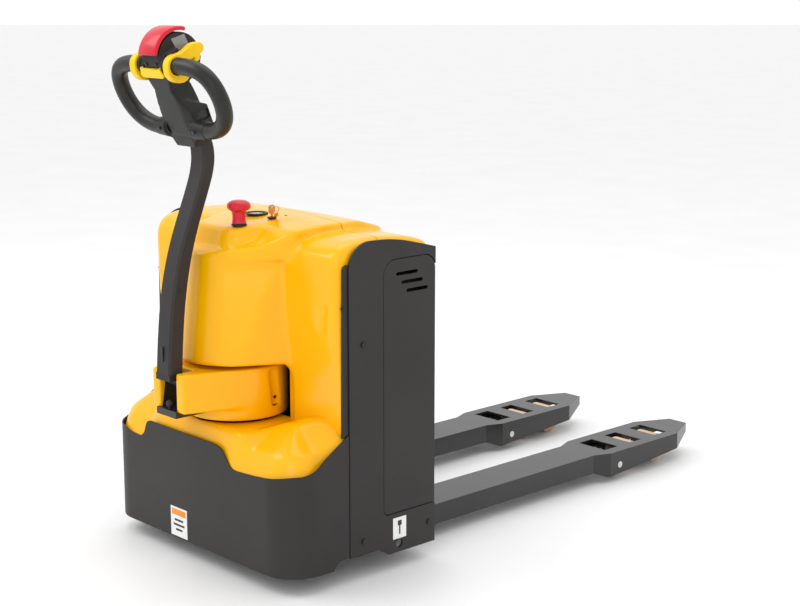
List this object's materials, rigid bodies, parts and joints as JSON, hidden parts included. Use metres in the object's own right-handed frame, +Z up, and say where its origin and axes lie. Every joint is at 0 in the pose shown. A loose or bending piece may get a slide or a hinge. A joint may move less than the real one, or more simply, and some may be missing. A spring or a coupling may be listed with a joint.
{
  "type": "electric pallet truck",
  "caption": "Pedestrian electric pallet truck with a steered tiller, drive drum under a hood, lifting battery box and load forks.",
  "frame": {"origin": "centre of the overall box, on the floor", "axes": "+X from the tiller to the fork tips, +Y to the left seen from the tiller, +Z up"},
  "size_m": [1.697, 0.726, 1.269],
  "materials": {
    "yellow_paint": "smooth gloss paint",
    "charcoal_paint": "fine textured powder coat",
    "black_paint": "satin black paint",
    "black_plastic": "fine grained moulding",
    "red_plastic": "glossy",
    "yellow_plastic": "satin",
    "clear_lens": "clear",
    "zinc_steel": "zinc plated",
    "cast_aluminium": "cast",
    "black_rubber": "matte",
    "guide_nylon": "smooth",
    "roller_polyurethane": "smooth polyurethane"
  },
  "bodies": {
    "chassis": {"chassis_frame": "black_paint", "front_skirt": "charcoal_paint", "apron_cover": "yellow_paint", "hood": "yellow_paint", "gauge_bezel": "black_plastic", "gauge_lens": "clear_lens", "key_switch": "black_plastic", "estop_switch": "black_plastic", "slewing_ring": "zinc_steel", "lift_cylinder": "zinc_steel", "hydraulic_pump": "black_paint", "oil_tank": "black_plastic", "controller": "cast_aluminium", "castor_plates": "black_paint", "cover_screws": "zinc_steel"},
    "drive_unit": {"gearbox_housing": "black_paint", "drive_motor": "cast_aluminium", "motor_brake": "black_plastic", "tiller_yoke": "black_paint", "pivot_pin": "zinc_steel", "stop_buffer": "black_rubber", "drum_cover": "yellow_paint"},
    "drive_wheel": {"drive_wheel_hub": "cast_aluminium", "drive_wheel_tyre": "black_rubber"},
    "tiller": {"tiller_arm": "charcoal_paint", "arm_foot_cap": "black_plastic", "head_housing": "black_plastic", "handle_loops": "black_plastic"},
    "throttle": {"throttle": "yellow_plastic"},
    "belly_button": {"belly_button": "red_plastic"},
    "lift_rocker": {"lift_rocker": "yellow_plastic"},
    "carriage": {"carriage_frame": "charcoal_paint", "side_panel_left": "charcoal_paint", "side_panel_right": "charcoal_paint", "side_doors": "charcoal_paint", "panel_bolts": "zinc_steel", "slide_shoes": "guide_nylon", "battery": "cast_aluminium", "lid_hinges": "black_paint", "fork_left": "charcoal_paint", "fork_right": "charcoal_paint", "fork_pins": "zinc_steel", "piston_rod": "zinc_steel"},
    "battery_lid": {"battery_lid": "yellow_paint"},
    "crank_shaft": {"crank_shaft": "black_paint"},
    "push_rods": {"push_rods": "black_paint"},
    "estop_mushroom": {"estop_mushroom": "red_plastic"},
    "key": {"key": "zinc_steel"},
    "castor_fork_left": {"castor_fork_left": "black_paint"},
    "castor_wheel_left": {"castor_wheel_left": "black_rubber"},
    "wheel_arm_left": {"wheel_arm_left": "black_paint"},
    "bogie_left": {"bogie_left": "black_paint"},
    "load_roller_left_rear": {"load_roller_left_rear": "roller_polyurethane"},
    "load_roller_left_front": {"load_roller_left_front": "roller_polyurethane"},
    "castor_fork_right": {"castor_fork_right": "black_paint"},
    "castor_wheel_right": {"castor_wheel_right": "black_rubber"},
    "wheel_arm_right": {"wheel_arm_right": "black_paint"},
    "bogie_right": {"bogie_right": "black_paint"},
    "load_roller_right_rear": {"load_roller_right_rear": "roller_polyurethane"},
    "load_roller_right_front": {"load_roller_right_front": "roller_polyurethane"}
  },
  "joints": [
    {"name": "steering", "type": "hinge", "parent": "chassis", "child": "drive_unit", "pos_m": [-0.6165, 0, 0.25], "axis": [0, 0, 1], "range_deg": [-70, 70]},
    {"name": "drive_wheel_spin", "type": "hinge", "parent": "drive_unit", "child": "drive_wheel", "pos_m": [-0.6165, 0, 0.11], "axis": [0, 1, 0], "continuous": true},
    {"name": "tiller_tilt", "type": "hinge", "parent": "drive_unit", "child": "tiller", "pos_m": [-0.7815, 0, 0.455], "axis": [0, -1, 0], "range_deg": [0, 75], "stiffness_Nm_per_rad": 45, "springref_deg": -14.32},
    {"name": "throttle_turn", "type": "hinge", "parent": "tiller", "child": "throttle", "pos_m": [-0.81494, 0, 1.18069], "axis": [0, 1, 0], "range_deg": [-25, 25], "stiffness_Nm_per_rad": 0.8},
    {"name": "reverse_button", "type": "slide", "parent": "tiller", "child": "belly_button", "axis": [0.4226, 0, -0.9063], "range_m": [0, 0.005], "stiffness_N_per_m": 900, "springref_m": -0.004},
    {"name": "lift_switch", "type": "hinge", "parent": "tiller", "child": "lift_rocker", "pos_m": [-0.83102, 0, 1.16657], "axis": [-0.4226, 0, 0.9063], "range_deg": [-5, 5], "stiffness_Nm_per_rad": 0.4},
    {"name": "estop_press", "type": "slide", "parent": "chassis", "child": "estop_mushroom", "axis": [0, 0, -1], "range_m": [0, 0.006]},
    {"name": "key_turn", "type": "hinge", "parent": "chassis", "child": "key", "pos_m": [-0.5595, -0.074, 0.8187], "axis": [0, 0, 1], "range_deg": [0, 90]},
    {"name": "carriage_lift", "type": "slide", "parent": "chassis", "child": "carriage", "axis": [0, 0, 1], "range_m": [0, 0.12]},
    {"name": "lid_swing", "type": "hinge", "parent": "carriage", "child": "battery_lid", "pos_m": [-0.3075, 0, 0.756], "axis": [0, 1, 0], "range_deg": [0, 95]},
    {"name": "crank_turn", "type": "hinge", "parent": "carriage", "child": "crank_shaft", "pos_m": [-0.3255, 0, 0.08872], "axis": [0, 1, 0], "range_deg": [-49, 0]},
    {"name": "push_rod_travel", "type": "slide", "parent": "carriage", "child": "push_rods", "axis": [1, 0, 0], "range_m": [0, 0.02]},
    {"name": "castor_swivel_left", "type": "hinge", "parent": "chassis", "child": "castor_fork_left", "pos_m": [-0.6365, 0.235, 0.13], "axis": [0, 0, 1], "continuous": true},
    {"name": "castor_roll_left", "type": "hinge", "parent": "castor_fork_left", "child": "castor_wheel_left", "pos_m": [-0.6065, 0.235, 0.05], "axis": [0, 1, 0], "continuous": true},
    {"name": "wheel_arm_swing_left", "type": "hinge", "parent": "carriage", "child": "wheel_arm_left", "pos_m": [0.4885, 0.205, 0.045], "axis": [0, 1, 0], "range_deg": [0, 49]},
    {"name": "bogie_tilt_left", "type": "hinge", "parent": "wheel_arm_left", "child": "bogie_left", "pos_m": [0.65042, 0.205, 0.04], "axis": [0, 1, 0], "range_deg": [-49, 0]},
    {"name": "load_roller_roll_left_rear", "type": "hinge", "parent": "bogie_left", "child": "load_roller_left_rear", "pos_m": [0.59442, 0.205, 0.04], "axis": [0, 1, 0], "continuous": true},
    {"name": "load_roller_roll_left_front", "type": "hinge", "parent": "bogie_left", "child": "load_roller_left_front", "pos_m": [0.70642, 0.205, 0.04], "axis": [0, 1, 0], "continuous": true},
    {"name": "castor_swivel_right", "type": "hinge", "parent": "chassis", "child": "castor_fork_right", "pos_m": [-0.6365, -0.235, 0.13], "axis": [0, 0, 1], "continuous": true},
    {"name": "castor_roll_right", "type": "hinge", "parent": "castor_fork_right", "child": "castor_wheel_right", "pos_m": [-0.6065, -0.235, 0.05], "axis": [0, 1, 0], "continuous": true},
    {"name": "wheel_arm_swing_right", "type": "hinge", "parent": "carriage", "child": "wheel_arm_right", "pos_m": [0.4885, -0.205, 0.045], "axis": [0, 1, 0], "range_deg": [0, 49]},
    {"name": "bogie_tilt_right", "type": "hinge", "parent": "wheel_arm_right", "child": "bogie_right", "pos_m": [0.65042, -0.205, 0.04], "axis": [0, 1, 0], "range_deg": [-49, 0]},
    {"name": "load_roller_roll_right_rear", "type": "hinge", "parent": "bogie_right", "child": "load_roller_right_rear", "pos_m": [0.59442, -0.205, 0.04], "axis": [0, 1, 0], "continuous": true},
    {"name": "load_roller_roll_right_front", "type": "hinge", "parent": "bogie_right", "child": "load_roller_right_front", "pos_m": [0.70642, -0.205, 0.04], "axis": [0, 1, 0], "continuous": true}
  ],
  "couplings": [
    {"joint": "crank_turn", "follows": "carriage_lift", "rad_per_m": -7.0874},
    {"joint": "push_rod_travel", "follows": "carriage_lift", "ratio": 0.16502},
    {"joint": "wheel_arm_swing_left", "follows": "carriage_lift", "rad_per_m": 7.0874},
    {"joint": "bogie_tilt_left", "follows": "carriage_lift", "rad_per_m": -7.0874},
    {"joint": "wheel_arm_swing_right", "follows": "carriage_lift", "rad_per_m": 7.0874},
    {"joint": "bogie_tilt_right", "follows": "carriage_lift", "rad_per_m": -7.0874}
  ]
}
